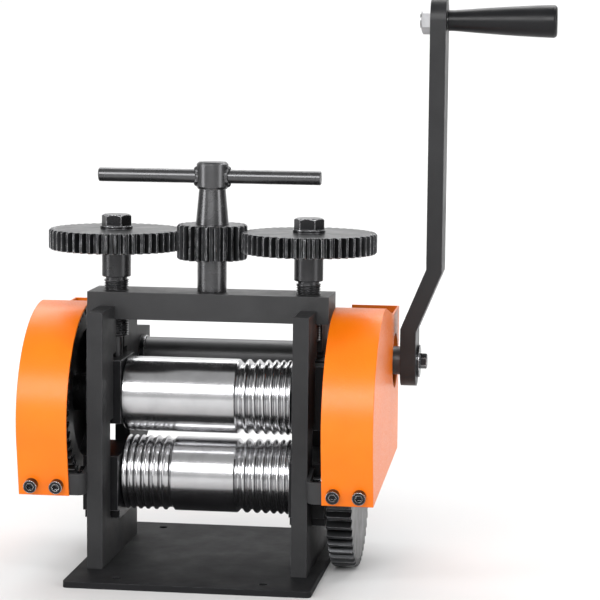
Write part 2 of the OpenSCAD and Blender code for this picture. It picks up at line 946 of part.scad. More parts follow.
// Washer against a roll gear's outer face
module end_washer() {
    x_ring(gear_out_x, gear_out_x + end_washer_t, end_washer_r, end_bolt_r + thread_clearance);
}

module lower_gear_washer() {
    color(dark_steel)
    at_axis(0, lower_axis_z)
        end_washer();
}

module upper_gear_washer() {
    color(dark_steel)
    at_axis(0, upper_axis_z)
        mirror([1, 0, 0])
            end_washer();
}

// Bolt in the end of a roll
module end_bolt() {
    x_bolt(gear_out_x + end_washer_t, end_bolt_head, end_bolt_af, end_bolt_r, end_bolt_len);
}

module lower_gear_bolt() {
    color(dark_steel)
    at_axis(0, lower_axis_z)
        end_bolt();
}

module upper_gear_bolt() {
    color(dark_steel)
    at_axis(0, upper_axis_z)
        mirror([1, 0, 0])
            end_bolt();
}

// Sleeve on a journal that keeps the roll from moving endways
module thrust_sleeve() {
    x_ring(block_out + face_gap, gear_web_x - face_gap, thrust_r,
        journal_r + running_clearance);
}

module lower_thrust_sleeve() {
    color(dark_steel)
    at_axis(0, lower_axis_z)
        thrust_sleeve();
}

module upper_thrust_sleeve() {
    color(dark_steel)
    at_axis(0, upper_axis_z)
        mirror([1, 0, 0])
            thrust_sleeve();
}

// Shaft: journals in the ears, stubs for the pinions, and the square for the arm
module crank_shaft() {
    collar_x = plate_in - shaft_flange_t - face_gap;
    shoulder_x = plate_out + face_gap;
    color(paint)
    at_axis(shaft_y, shaft_z)
        difference() {
            union() {
                x_bar(-collar_x, collar_x, shaft_dia / 2);
                x_bar(-shoulder_x, shoulder_x, shaft_journal_r);
                x_bar(-gear_out_x, arm_x, shaft_stub_r);
                block(arm_x - overrun, arm_out - face_gap, drive_square,
                    -drive_square / 2, drive_square / 2);
            }
            both_sides()
                feather(gear_x, shaft_stub_r, thread_clearance);
            mirror([1, 0, 0])
                x_bar(gear_out_x - end_bolt_len - thread_clearance, gear_out_x + overrun,
                    end_bolt_r + thread_clearance);
            x_bar(arm_out - crank_bolt_len, arm_out + overrun, crank_bolt_r + thread_clearance);
        }
}

module shaft_bushes() {
    color(dark_steel)
    both_sides()
        at_axis(shaft_y, shaft_z)
            difference() {
                union() {
                    x_bar(plate_in, plate_out, shaft_bush_r);
                    x_bar(plate_in - shaft_flange_t, plate_in, shaft_flange_r);
                }
                x_bar(plate_in - shaft_flange_t - overrun, plate_out + overrun,
                    shaft_journal_r + running_clearance);
            }
}

// Pinion on the crank shaft, on the +X side
module shaft_pinion(angle) {
    at_axis(shaft_y, shaft_z)
        difference() {
            x_gear(pinion_teeth, roll_gear_module, gear_x, gear_out_x, angle);
            x_bar(gear_x - overrun, gear_out_x + overrun, shaft_stub_r);
            keyway(shaft_stub_r);
        }
}

module left_shaft_pinion() {
    color(paint)
    mirror([1, 0, 0])
        shaft_pinion(pinion_angle);
}

module right_shaft_pinion() {
    color(paint)
    shaft_pinion(pinion_angle);
}

module shaft_pinion_keys() {
    color(dark_steel)
    both_sides()
        at_axis(shaft_y, shaft_z)
            feather(gear_x, shaft_stub_r, 0);
}

module pinion_spacers() {
    color(dark_steel)
    both_sides()
        at_axis(shaft_y, shaft_z)
            x_ring(plate_out + face_gap, gear_x, spacer_r, shaft_stub_r);
}

module shaft_end_bolt() {
    color(dark_steel)
    mirror([1, 0, 0])
        at_axis(shaft_y, shaft_z) {
            x_bar(gear_out_x, gear_out_x + end_washer_t, end_flange_r);
            x_bolt(gear_out_x + end_washer_t, end_bolt_head, end_bolt_af, end_bolt_r,
                end_bolt_len);
        }
}

// Stud in the right ear that carries the idler
module idler_stud() {
    bearing_x = gear_x - face_gap;
    color(dark_steel)
    at_axis(idler_y, idler_z)
        difference() {
            union() {
                x_hex(plate_in, plate_in - stud_nut_h, stud_nut_af);
                x_bar(plate_in - overrun, plate_out, stud_r);
                x_bar(plate_out, bearing_x, stud_shoulder_r);
                x_bar(plate_out, gear_out_x + face_gap, stud_bearing_r);
            }
            x_bar(gear_out_x + face_gap - idler_bolt_len, gear_out_x + overrun,
                idler_bolt_r + thread_clearance);
        }
}

module idler_bush() {
    color(bronze)
    at_axis(idler_y, idler_z)
        x_ring(gear_x, gear_out_x, idler_bush_r, stud_bearing_r + running_clearance);
}

module idler_gear() {
    color(paint)
    at_axis(idler_y, idler_z)
        difference() {
            x_gear(pinion_teeth, roll_gear_module, gear_x, gear_out_x, idler_angle);
            x_bar(gear_x - overrun, gear_out_x + overrun, idler_bush_r);
        }
}

module idler_washer() {
    color(dark_steel)
    at_axis(idler_y, idler_z)
        x_ring(gear_out_x + face_gap, gear_out_x + face_gap + idler_washer_t, idler_washer_r,
            idler_bolt_r + thread_clearance);
}

module idler_bolt() {
    color(dark_steel)
    at_axis(idler_y, idler_z)
        x_bolt(gear_out_x + face_gap + idler_washer_t, idler_bolt_head, idler_bolt_af,
            idler_bolt_r, idler_bolt_len);
}

// Side of the cover: leaning front, round top, dipping top edge and upright rear
module cover_side_outline() {
    polygon(concat(
        arc(cover_centre, cover_r, 180 + cover_lean, cover_arc_end, cover_steps),
        [
            [cover_dip_y, cover_dip_z],
            [cover_rear_y, cover_rear_top_z],
            [cover_rear_y, cover_rear_bottom_z],
            cover_front
        ]
    ));
}

// Space inside the cover, open below and behind the round top
module cover_hollow_outline() {
    inner_r = cover_r - sheet_t;
    rear_in = cover_rear_y - sheet_t;
    low = cover_bottom_z - overrun;
    high = cover_centre_z + cover_r + overrun;
    polygon(concat(
        arc(cover_centre, inner_r, 180 + cover_lean, cover_arc_end, cover_steps),
        [
            [cover_arc_end_y, high],
            [rear_in, high],
            [rear_in, low],
            cover_front_point(inner_r, low)
        ]
    ));
}

// Bent sheet cover over one side's gears, open towards the plate
module cover() {
    difference() {
        across(cover_inner_x, cover_outer_x)
            cover_side_outline();
        across(cover_inner_x - overrun, cover_in)
            cover_hollow_outline();
        translate([cover_inner_x - overrun, cover_rear_y - sheet_t - overrun,
            cover_bottom_z - overrun])
            cube([cover_in - cover_inner_x + overrun, sheet_t + 2 * overrun,
                cover_wall_bottom_z - cover_bottom_z + overrun]);
        at_cover_screws()
            cylinder(h = sheet_t + bracket_t + overrun, r = cap_screw_r + thread_clearance);
    }
}

module left_cover() {
    color(orange)
    mirror([1, 0, 0])
        cover();
}

module right_cover() {
    color(orange)
    difference() {
        cover();
        at_axis(shaft_y, shaft_z)
            x_bar(cover_in - overrun, cover_outer_x + overrun, cover_shaft_hole_dia / 2);
    }
}

// Frame of the leaning front sheet: its outer face, level with the bracket
module at_front_sheet() {
    translate([0, cover_centre_y, cover_centre_z])
        rotate([cover_lean, 0, 0])
            translate([0, -cover_r, bracket_v])
                children();
}

// Cover screws run in from the front sheet's outer face
module at_cover_screws() {
    middle = (cover_inner_x + cover_in) / 2;
    at_front_sheet()
        for (side = [-1, 1])
            translate([middle + side * cover_screw_span / 2, 0, 0])
                rotate([-90, 0, 0])
                    children();
}

// Bracket screws run into the side plate from the leg's outer face
module at_bracket_screws() {
    at_front_sheet()
        for (i = [0, 1])
            translate([plate_out + bracket_t,
                sheet_t + bracket_leg - bracket_screw_end + i * bracket_screw_span, 0])
                rotate([0, -90, 0])
                    children();
}

// Bent bar: one leg on the side plate, the other behind the cover's front sheet
module cover_bracket() {
    leg = bracket_leg + bracket_screw_span;
    inner_r = bracket_bend_r - bracket_t;
    bend = [plate_out + bracket_bend_r, sheet_t + bracket_bend_r];
    difference() {
        at_front_sheet()
            translate([0, 0, -bracket_h / 2])
                linear_extrude(bracket_h)
                    polygon(concat(
                        [[plate_out, sheet_t + leg]],
                        arc(bend, bracket_bend_r, 180, 270),
                        [[cover_in - bracket_end_inset, sheet_t],
                         [cover_in - bracket_end_inset, sheet_t + bracket_t]],
                        arc(bend, inner_r, 270, 180),
                        [[plate_out + bracket_t, sheet_t + leg]]));
        at_cover_screws()
            cylinder(h = sheet_t + bracket_t + overrun, r = cap_screw_r + thread_clearance);
        at_bracket_screws()
            translate([0, 0, -overrun])
                cylinder(h = bracket_t + 2 * overrun, r = cap_screw_r + thread_clearance);
    }
}

module left_cover_bracket() {
    color(paint)
    mirror([1, 0, 0])
        cover_bracket();
}

module right_cover_bracket() {
    color(paint)
    cover_bracket();
}

// Socket cap screw whose head stands out from its seat
module cap_screw(len) {
    difference() {
        union() {
            translate([0, 0, -cap_head_h])
                cylinder(h = cap_head_h, d = cap_head_dia);
            cylinder(h = len, r = cap_screw_r);
        }
        translate([0, 0, -cap_head_h - overrun])
            cylinder(h = cap_socket_depth + overrun, d = cap_socket_af / cos(30),
                $fn = hex_sides);
    }
}

module cover_screws() {
    color(dark_steel)
    both_sides()
        at_cover_screws()
            cap_screw(sheet_t + bracket_t + cap_screw_past);
}

module bracket_screws() {
    color(dark_steel)
    both_sides()
        at_bracket_screws()
            cap_screw(bracket_screw_len);
}

// Adjusting screw: button, neck, thread, relief, collar and the disc gear's spigot
module adjusting_screw() {
    neck_r = screw_neck_dia / 2;
    button_r = screw_button_dia / 2;
    collar_r = screw_collar_dia / 2;
    difference() {
        translate([screw_x, 0, 0])
            rotate_extrude()
                polygon([
                    [0, button_z],
                    [button_r, button_z],
                    [button_r, button_top_z],
                    [neck_r, button_top_z],
                    [neck_r, screw_thread_z],
                    [screw_r - thread_crest, screw_thread_z],
                    [screw_r, screw_thread_z + thread_crest],
                    [screw_r, screw_collar_z - screw_relief],
                    [screw_r - thread_crest, screw_collar_z - screw_relief],
                    [screw_r - thread_crest, screw_collar_z],
                    [collar_r, screw_collar_z],
                    [collar_r, disc_z],
                    [screw_spigot_r, disc_z],
                    [screw_spigot_r, disc_top_z - face_gap],
                    [0, disc_top_z - face_gap]
                ]);
        translate([screw_x, 0, disc_top_z + screw_washer_t - screw_bolt_len - thread_clearance])
            cylinder(h = screw_bolt_len, r = screw_bolt_r + thread_clearance);
    }
}

module left_screw() {
    color(paint)
    mirror([1, 0, 0])
        adjusting_screw();
}

module right_screw() {
    color(paint)
    adjusting_screw();
}

// Spur gear about Z with bevelled rims and a bore
module z_gear(teeth, size, from_z, thickness, angle, bore_r) {
    tip_r = (teeth / 2 + addendum_share) * size;
    difference() {
        intersection() {
            translate([0, 0, from_z])
                rotate([0, 0, angle])
                    linear_extrude(thickness)
                        polygon(gear_outline(teeth, size));
            rotate_extrude()
                polygon([
                    [0, from_z],
                    [tip_r - rim_bevel, from_z],
                    [tip_r, from_z + rim_bevel],
                    [tip_r, from_z + thickness - rim_bevel],
                    [tip_r - rim_bevel, from_z + thickness],
                    [0, from_z + thickness]
                ]);
        }
        translate([0, 0, from_z - overrun])
            cylinder(h = thickness + 2 * overrun, r = bore_r);
    }
}

// Thin gear on top of an adjusting screw
module disc_gear(angle) {
    z_gear(disc_teeth, disc_module, disc_z, disc_t, angle, screw_spigot_r);
}

module left_disc_gear() {
    color(paint)
    translate([-screw_x, 0, 0])
        disc_gear(left_disc_angle);
}

module right_disc_gear() {
    color(paint)
    translate([screw_x, 0, 0])
        disc_gear(right_disc_angle);
}

// Washer between a disc gear and its bolt
module screw_washer() {
    difference() {
        translate([screw_x, 0, disc_top_z])
            cylinder(h = screw_washer_t, d = screw_washer_dia);
        translate([screw_x, 0, disc_top_z - overrun])
            cylinder(h = screw_washer_t + 2 * overrun, r = screw_bolt_r + thread_clearance);
    }
}

module left_screw_washer() {
    color(paint)
    mirror([1, 0, 0])
        screw_washer();
}

module right_screw_washer() {
    color(paint)
    screw_washer();
}

// Hexagon bolt down into the adjusting screw
module screw_bolt() {
    seat_z = disc_top_z + screw_washer_t;
    translate([screw_x, 0, seat_z]) {
        z_hex(screw_bolt_head, screw_bolt_af);
        translate([0, 0, -screw_bolt_len])
            cylinder(h = screw_bolt_len + thread_crest, r = screw_bolt_r);
    }
}

module left_screw_bolt() {
    color(paint)
    mirror([1, 0, 0])
        screw_bolt();
}

module right_screw_bolt() {
    color(paint)
    screw_bolt();
}

// Turned spindle of the key: spigot, core, cone and the head for the bar
module key_spindle() {
    spigot_r = key_spigot_dia / 2;
    cone_r = key_cone_dia / 2;
    neck_r = key_cone_top_dia / 2;
    head_r = key_head_dia / 2;
    color(paint)
    difference() {
        rotate_extrude()
            polygon([
                [0, beam_top_z - key_spigot_len],
                [spigot_r, beam_top_z - key_spigot_len],
                [spigot_r, beam_top_z + face_gap],
                [key_core_r, beam_top_z + face_gap],
                [key_core_r, key_cone_z],
                [cone_r, key_cone_z],
                [neck_r, key_head_z - key_neck_h],
                [neck_r, key_head_z],
                [head_r - key_chamfer / 2, key_head_z],
                [head_r, key_head_z + key_chamfer],
                [head_r, key_top_z - key_chamfer],
                [head_r - key_chamfer, key_top_z],
                [0, key_top_z]
            ]);
        at_axis(0, key_bar_z)
            x_bar(-key_head_dia, key_head_dia, key_bar_dia / 2);
    }
}

module key_collar() {
    color(paint)
    difference() {
        translate([0, 0, beam_top_z + face_gap])
            cylinder(h = key_pinion_z - beam_top_z - face_gap, d = key_collar_dia);
        translate([0, 0, beam_top_z])
            cylinder(h = key_pinion_z - beam_top_z + overrun, r = key_core_r);
    }
}

module key_pinion() {
    color(paint)
    z_gear(key_teeth, disc_module, key_pinion_z, key_cone_z - key_pinion_z, 0, key_core_r);
}

// Bar through the key's head, with bevelled ends
module key_bar() {
    half = key_bar_len / 2;
    r = key_bar_dia / 2;
    color(paint)
    translate([key_bar_shift, 0, key_bar_z])
        rotate([0, 90, 0])
            rotate_extrude()
                polygon([
                    [0, -half],
                    [r - key_bar_chamfer, -half],
                    [r, -half + key_bar_chamfer],
                    [r, half - key_bar_chamfer],
                    [r - key_bar_chamfer, half],
                    [0, half]
                ]);
}

// Outline of the arm from the front: straight, out to the side, straight
module arm_front_outline() {
    rise = arm_bend_high_z - arm_bend_low_z;
    bend = atan2(arm_offset, rise);
    drop = arm_t * tan(bend / 2);
    polygon([
        [arm_x, arm_bottom_z],
        [arm_x, arm_bend_low_z],
        [arm_top_x, arm_bend_high_z],
        [arm_top_x, arm_top_z],
        [arm_top_x + arm_t, arm_top_z],
        [arm_top_x + arm_t, arm_bend_high_z - drop],
        [arm_out, arm_bend_low_z - drop],
        [arm_out, arm_bottom_z]
    ]);
}

// Flat bar with two bends and round ends, with the square hole of the shaft
module crank_arm() {
    r = arm_w / 2;
    color(paint)
    difference() {
        intersection() {
            translate([0, shaft_y + r, 0])
                rotate([90, 0, 0])
                    linear_extrude(arm_w)
                        arm_front_outline();
            union() {
                at_axis(shaft_y, arm_top_z - r)
                    x_bar(arm_x - overrun, arm_top_x + arm_t + overrun, r);
                at_axis(shaft_y, arm_bottom_z + r)
                    x_bar(arm_x - overrun, arm_top_x + arm_t + overrun, r);
                at_axis(shaft_y, 0)
                    block(arm_x - overrun, arm_top_x + arm_t + overrun, arm_w,
                        arm_bottom_z + r, arm_top_z - r);
            }
        }
        at_axis(shaft_y, shaft_z)
            block(arm_x - overrun, arm_out + overrun, drive_square,
                -drive_square / 2, drive_square / 2);
        at_axis(shaft_y, grip_z)
            x_bar(arm_top_x - overrun, arm_top_x + arm_t + overrun, grip_stud_r);
    }
}

module crank_washer() {
    color(dark_steel)
    at_axis(shaft_y, shaft_z)
        x_ring(arm_out, arm_out + crank_washer_t, crank_washer_dia / 2,
            crank_bolt_r + thread_clearance);
}

module crank_bolt() {
    color(dark_steel)
    at_axis(shaft_y, shaft_z)
        x_bolt(arm_out + crank_washer_t, crank_bolt_head, crank_bolt_af, crank_bolt_r,
            crank_bolt_len);
}

// Pin of the grip: threaded end through the arm, bearing, and a bead that the grip snaps over
module grip_spindle() {
    seat_x = arm_top_x + arm_t;
    end_x = seat_x + grip_pin_len;
    bead_r = grip_pin_r + grip_bead;
    color(steel)
    at_axis(shaft_y, grip_z) {
        x_bar(arm_top_x - grip_nut_h - overrun, seat_x, grip_stud_r);
        x_bar(seat_x, end_x, grip_pin_r);
        x_bar(end_x - grip_bead_len, end_x, bead_r);
    }
}

module grip_nut() {
    color(steel)
    at_axis(shaft_y, grip_z)
        difference() {
            x_hex(arm_top_x, arm_top_x - grip_nut_h, grip_nut_af);
            x_bar(arm_top_x - grip_nut_h - overrun, arm_top_x + overrun, grip_stud_r);
        }
}

// Tapered grip with a flat end and a blind bore
module grip() {
    start_x = arm_top_x + arm_t + face_gap;
    end_x = arm_top_x + arm_t + grip_len;
    pin_end = arm_top_x + arm_t + grip_pin_len;
    r = grip_dia / 2;
    neck_r = grip_neck_dia / 2;
    bead_r = grip_pin_r + grip_bead;
    color(black)
    at_axis(shaft_y, grip_z)
        difference() {
            rotate([90, 0, 90])
                rotate_extrude()
                    polygon(concat(
                        [[0, start_x], [neck_r - grip_bead, start_x],
                         [neck_r, start_x + grip_bead]],
                        [for (i = [0:arc_steps])
                            let(share = i / arc_steps,
                                x = start_x + grip_neck_len
                                    + share * (end_x - grip_end_r - start_x - grip_neck_len))
                            [neck_r + (r - neck_r) * (share + sin(90 * share)) / 2, x]],
                        arc([r - grip_end_r, end_x - grip_end_r], grip_end_r, 0, 90),
                        [[0, end_x]]));
            x_bar(start_x - overrun, pin_end + face_gap, grip_pin_r + running_clearance);
            x_bar(pin_end - grip_bead_len - face_gap, pin_end + face_gap,
                bead_r + running_clearance);
        }
}

base_plate();
left_side_plate();
right_side_plate();
top_beam();
base_screws();
beam_set_screws();
left_lower_block();
right_lower_block();
left_upper_block();
right_upper_block();
lower_bushes();
upper_bushes();
lower_roll();
upper_roll();
lower_roll_gear();
upper_roll_gear();
lower_gear_key();
upper_gear_key();
lower_gear_washer();
upper_gear_washer();
lower_gear_bolt();
upper_gear_bolt();
lower_thrust_sleeve();
upper_thrust_sleeve();
crank_shaft();
shaft_bushes();
left_shaft_pinion();
right_shaft_pinion();
shaft_pinion_keys();
pinion_spacers();
shaft_end_bolt();
idler_stud();
idler_bush();
idler_gear();
idler_washer();
idler_bolt();
left_cover();
right_cover();
left_cover_bracket();
right_cover_bracket();
cover_screws();
bracket_screws();
left_screw();
right_screw();
left_disc_gear();
right_disc_gear();
left_screw_washer();
right_screw_washer();
left_screw_bolt();
right_screw_bolt();
key_spindle();
key_collar();
key_pinion();
key_bar();
crank_arm();
crank_bolt();
crank_washer();
grip_spindle();
grip();
grip_nut();
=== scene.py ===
"""Looks of the jewellers rolling mill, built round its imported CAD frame.

Lengths are in metres, and in millimetres where the name or docstring says so.
"""

import json
import math

import bmesh
import bpy
from mathutils import Matrix, Vector, noise


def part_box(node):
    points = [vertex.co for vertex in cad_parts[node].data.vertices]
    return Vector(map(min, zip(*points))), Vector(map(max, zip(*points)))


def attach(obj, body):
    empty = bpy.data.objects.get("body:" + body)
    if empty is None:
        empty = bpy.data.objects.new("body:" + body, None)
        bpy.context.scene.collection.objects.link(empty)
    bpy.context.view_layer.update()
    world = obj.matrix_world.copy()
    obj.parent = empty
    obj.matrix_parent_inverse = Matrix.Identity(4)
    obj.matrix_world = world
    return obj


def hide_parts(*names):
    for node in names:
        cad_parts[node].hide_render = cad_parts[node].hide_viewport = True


MM = 0.001

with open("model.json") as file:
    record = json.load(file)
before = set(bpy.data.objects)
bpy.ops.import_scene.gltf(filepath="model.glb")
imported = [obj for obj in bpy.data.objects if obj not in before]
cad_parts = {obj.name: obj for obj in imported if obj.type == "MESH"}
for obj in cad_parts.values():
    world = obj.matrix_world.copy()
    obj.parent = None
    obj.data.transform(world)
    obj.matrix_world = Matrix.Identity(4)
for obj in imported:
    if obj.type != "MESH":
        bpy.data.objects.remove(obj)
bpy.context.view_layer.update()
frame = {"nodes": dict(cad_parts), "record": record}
nodes = frame["nodes"]
looks = {}


# Camera: a long lens, a little right of centre and above the rolls.
CAMERA_PLACE = Vector((0.2571, -1.4433, 0.3470))
CAMERA_YAW = 0.1374
CAMERA_PITCH = 0.1186
CAMERA_ROLL = 0.0095
CAMERA_LENS = 136.8
SENSOR_WIDTH = 36.0


def make_camera():
    """Camera at the photograph's viewing angle."""
    forward = Vector(
        (
            -math.sin(CAMERA_YAW) * math.cos(CAMERA_PITCH),
            math.cos(CAMERA_YAW) * math.cos(CAMERA_PITCH),
            -math.sin(CAMERA_PITCH),
        )
    )
    level = forward.cross(Vector((0, 0, 1))).normalized()
    upright = level.cross(forward)
    across = level * math.cos(CAMERA_ROLL) + upright * math.sin(CAMERA_ROLL)
    up = upright * math.cos(CAMERA_ROLL) - level * math.sin(CAMERA_ROLL)
    turn = Matrix((across, up, -forward)).transposed()
    data = bpy.data.cameras.new("camera")
    data.sensor_width = SENSOR_WIDTH
    data.lens = CAMERA_LENS
    data.clip_end = 20.0
    camera = bpy.data.objects.new("camera", data)
    camera.matrix_world = Matrix.Translation(CAMERA_PLACE) @ turn.to_4x4()
    bpy.context.scene.collection.objects.link(camera)
    bpy.context.scene.camera = camera


class Shader:
    """A material whose nodes are added one after another."""

    def __init__(self, name, color, roughness, metallic=0.0):
        self.material = bpy.data.materials.new(name)
        self.material.use_nodes = True
        self.tree = self.material.node_tree
        self.surface = self.tree.nodes["Principled BSDF"]
        self.surface.inputs["Base Color"].default_value = (*color, 1)
        self.surface.inputs["Roughness"].default_value = roughness
        self.surface.inputs["Metallic"].default_value = metallic
        self.place = self.add("ShaderNodeTexCoord").outputs["Object"]

    def add(self, kind, **settings):
        node = self.tree.nodes.new(kind)
        for key, value in settings.items():
            if key in node.inputs:
                node.inputs[key].default_value = value
            else:
                setattr(node, key, value)
        return node

    def link(self, out, into):
        self.tree.links.new(out, into)

    def stretched(self, scale):
        """Object coordinates scaled along each axis, for grain with a direction."""
        node = self.add("ShaderNodeMapping")
        self.link(self.place, node.inputs["Vector"])
        node.inputs["Scale"].default_value = scale
        return node.outputs["Vector"]

    def noise(self, scale, detail=3.0, roughness=0.5, place=None):
        node = self.add("ShaderNodeTexNoise", Scale=scale, Detail=detail)
        node.inputs["Roughness"].default_value = roughness
        self.link(place or self.place, node.inputs["Vector"])
        return node.outputs["Fac"]

    def ranged(self, value, low, high, to_low, to_high):
        node = self.add("ShaderNodeMapRange")
        self.link(value, node.inputs["Value"])
        for key, number in zip(
            ("From Min", "From Max", "To Min", "To Max"), (low, high, to_low, to_high)
        ):
            node.inputs[key].default_value = number
        return node.outputs["Result"]

    def mixed(self, factor, a, b):
        node = self.add("ShaderNodeMix", data_type="RGBA")
        self.link(factor, node.inputs["Factor"])
        for socket, color in ((node.inputs["A"], a), (node.inputs["B"], b)):
            if isinstance(color, tuple):
                socket.default_value = (*color, 1)
            else:
                self.link(color, socket)
        return node.outputs["Result"]

    def bump(self, height, strength, distance, normal=None):
        node = self.add("ShaderNodeBump", Strength=strength, Distance=distance)
        self.link(height, node.inputs["Height"])
        if normal:
            self.link(normal, node.inputs["Normal"])
        return node.outputs["Normal"]

    def rounded(self, radius):
        """Normal whose edges look rounded by the radius."""
        node = self.add("ShaderNodeBevel", samples=4)
        node.inputs["Radius"].default_value = radius
        return node.outputs["Normal"]

    def edge(self, radius, low, high):
        """1 on sharp edges and 0 away from them."""
        bevel = self.rounded(radius)
        plain = self.add("ShaderNodeNewGeometry").outputs["Normal"]
        dot = self.add("ShaderNodeVectorMath", operation="DOT_PRODUCT")
        self.link(bevel, dot.inputs[0])
        self.link(plain, dot.inputs[1])
        return self.ranged(dot.outputs["Value"], high, low, 0.0, 1.0)

    def set(self, key, out):
        self.link(out, self.surface.inputs[key])


def black_paint(
    name, tone, roughness, grain=1500.0, grain_depth=0.05 * MM, edge_wear_and_highlight=(0.11, 0.11, 0.115), shine=0.28
):
    """Satin black paint or black oxide with a fine grain and lightened edges, partly real wear and
    partly painted edge highlights.
    """
    m = Shader(name, tone, roughness)
    m.surface.inputs["Specular IOR Level"].default_value = shine
    cloud = m.noise(45.0, 4.0, 0.6)
    lighter = tuple(1.25 * c for c in tone)
    body = m.mixed(m.ranged(cloud, 0.35, 0.7, 0.0, 1.0), tone, lighter)
    # Edge mask: lightens edges towards the edge tone, as wear and as painted edge highlights.
    worn_and_highlit_edge = m.edge(0.7 * MM, 0.80, 0.995)
    patch = m.ranged(m.noise(160.0, 3.0), 0.42, 0.62, 0.15, 0.6)
    amount = m.add("ShaderNodeMath", operation="MULTIPLY")
    m.link(worn_and_highlit_edge, amount.inputs[0])
    m.link(patch, amount.inputs[1])
    m.set("Base Color", m.mixed(amount.outputs[0], body, edge_wear_and_highlight))
    m.set("Roughness", m.ranged(cloud, 0.3, 0.7, roughness - 0.06, roughness + 0.08))
    fine = m.noise(grain, 2.0, 0.6)
    m.set("Normal", m.bump(fine, 0.6, grain_depth, m.rounded(0.5 * MM)))
    return m.material


def orange_powder():
    """Orange powder coat with a fine orange-peel grain and a soft gloss."""
    m = Shader("orange_powder_coat", (0.93, 0.18, 0.008), 0.36)
    m.surface.inputs["Specular IOR Level"].default_value = 0.3
    m.surface.inputs["Coat Weight"].default_value = 0.15
    m.surface.inputs["Coat Roughness"].default_value = 0.25
    cloud = m.noise(30.0, 3.0)
    coat = m.mixed(m.ranged(cloud, 0.3, 0.7, 0.0, 1.0), (0.82, 0.160, 0.0015), (0.86, 0.180, 0.002))
    m.set("Base Color", coat)
    peel = m.noise(900.0, 2.0, 0.45)
    m.set("Roughness", m.ranged(peel, 0.3, 0.7, 0.30, 0.46))
    m.set("Normal", m.bump(peel, 0.55, 0.12 * MM, m.rounded(0.9 * MM)))
    return m.material


def roll_steel():
    """Ground and polished steel, with fine turning lines round the roll."""
    m = Shader("polished_roll_steel", (0.78, 0.78, 0.79), 0.20, 1.0)
    lines = m.noise(1.0, 2.0, 0.6, m.stretched((5200.0, 60.0, 60.0)))
    m.set("Roughness", m.ranged(lines, 0.3, 0.7, 0.15, 0.25))
    m.set("Normal", m.bump(lines, 0.12, 0.01 * MM, m.rounded(0.25 * MM)))
    smear = m.ranged(m.noise(70.0, 3.0), 0.35, 0.65, 0.0, 1.0)
    m.set("Base Color", m.mixed(smear, (0.52, 0.52, 0.53), (0.60, 0.60, 0.61)))
    return m.material


def bright_metal(name, tone, roughness):
    """Machined metal: plated steel or bronze."""
    m = Shader(name, tone, roughness, 1.0)
    marks = m.noise(200.0, 2.0, 0.5)
    m.set("Roughness", m.ranged(marks, 0.3, 0.7, roughness - 0.03, roughness + 0.05))
    darker = tuple(0.8 * c for c in tone)
    m.set("Base Color", m.mixed(m.ranged(m.noise(90.0), 0.35, 0.65, 0.0, 1.0), darker, tone))
    m.set("Normal", m.rounded(0.3 * MM))
    return m.material


def blackened_steel(name, tone, roughness, edge_wear_and_highlight, wear_and_highlight_width=0.6 * MM):
    """Blackened steel: dark, with soft highlights and bright edges that are partly wear and partly
    painted highlights.
    """
    m = Shader(name, tone, roughness, 0.85)
    cloud = m.noise(60.0, 4.0, 0.6)
    darker = tuple(0.85 * c for c in tone)
    body = m.mixed(m.ranged(cloud, 0.35, 0.65, 0.0, 1.0), darker, tone)
    # Edge mask: brightens edges towards the edge tone, as wear and as painted edge highlights.
    worn_and_highlit_edge = m.edge(wear_and_highlight_width, 0.85, 0.995)
    patch = m.ranged(m.noise(220.0, 3.0), 0.40, 0.60, 0.25, 1.0)
    amount = m.add("ShaderNodeMath", operation="MULTIPLY")
    m.link(worn_and_highlit_edge, amount.inputs[0])
    m.link(patch, amount.inputs[1])
    m.set("Base Color", m.mixed(amount.outputs[0], body, edge_wear_and_highlight))
    m.set("Roughness", m.ranged(cloud, 0.3, 0.7, roughness - 0.05, roughness + 0.08))
    m.set("Normal", m.bump(m.noise(1400.0, 2.0), 0.12, 0.02 * MM, m.rounded(0.3 * MM)))
    return m.material


def grip_plastic():
    """Black moulded plastic with a faint sheen."""
    m = Shader("grip_plastic", (0.006, 0.006, 0.007), 0.38)
    m.surface.inputs["Specular IOR Level"].default_value = 0.25
    fine = m.noise(1100.0, 2.0)
    m.set("Roughness", m.ranged(m.noise(60.0), 0.3, 0.7, 0.28, 0.42))
    tone = m.ranged(fine, 0.3, 0.7, 0.0, 1.0)
    m.set("Base Color", m.mixed(tone, (0.005, 0.005, 0.006), (0.008, 0.008, 0.009)))
    m.set("Normal", m.bump(fine, 0.25, 0.03 * MM))
    return m.material


def dress(material, *names):
    """Give a material to CAD nodes."""
    for name in names:
        data = nodes[name].data
        data.materials.clear()
        data.materials.append(material)


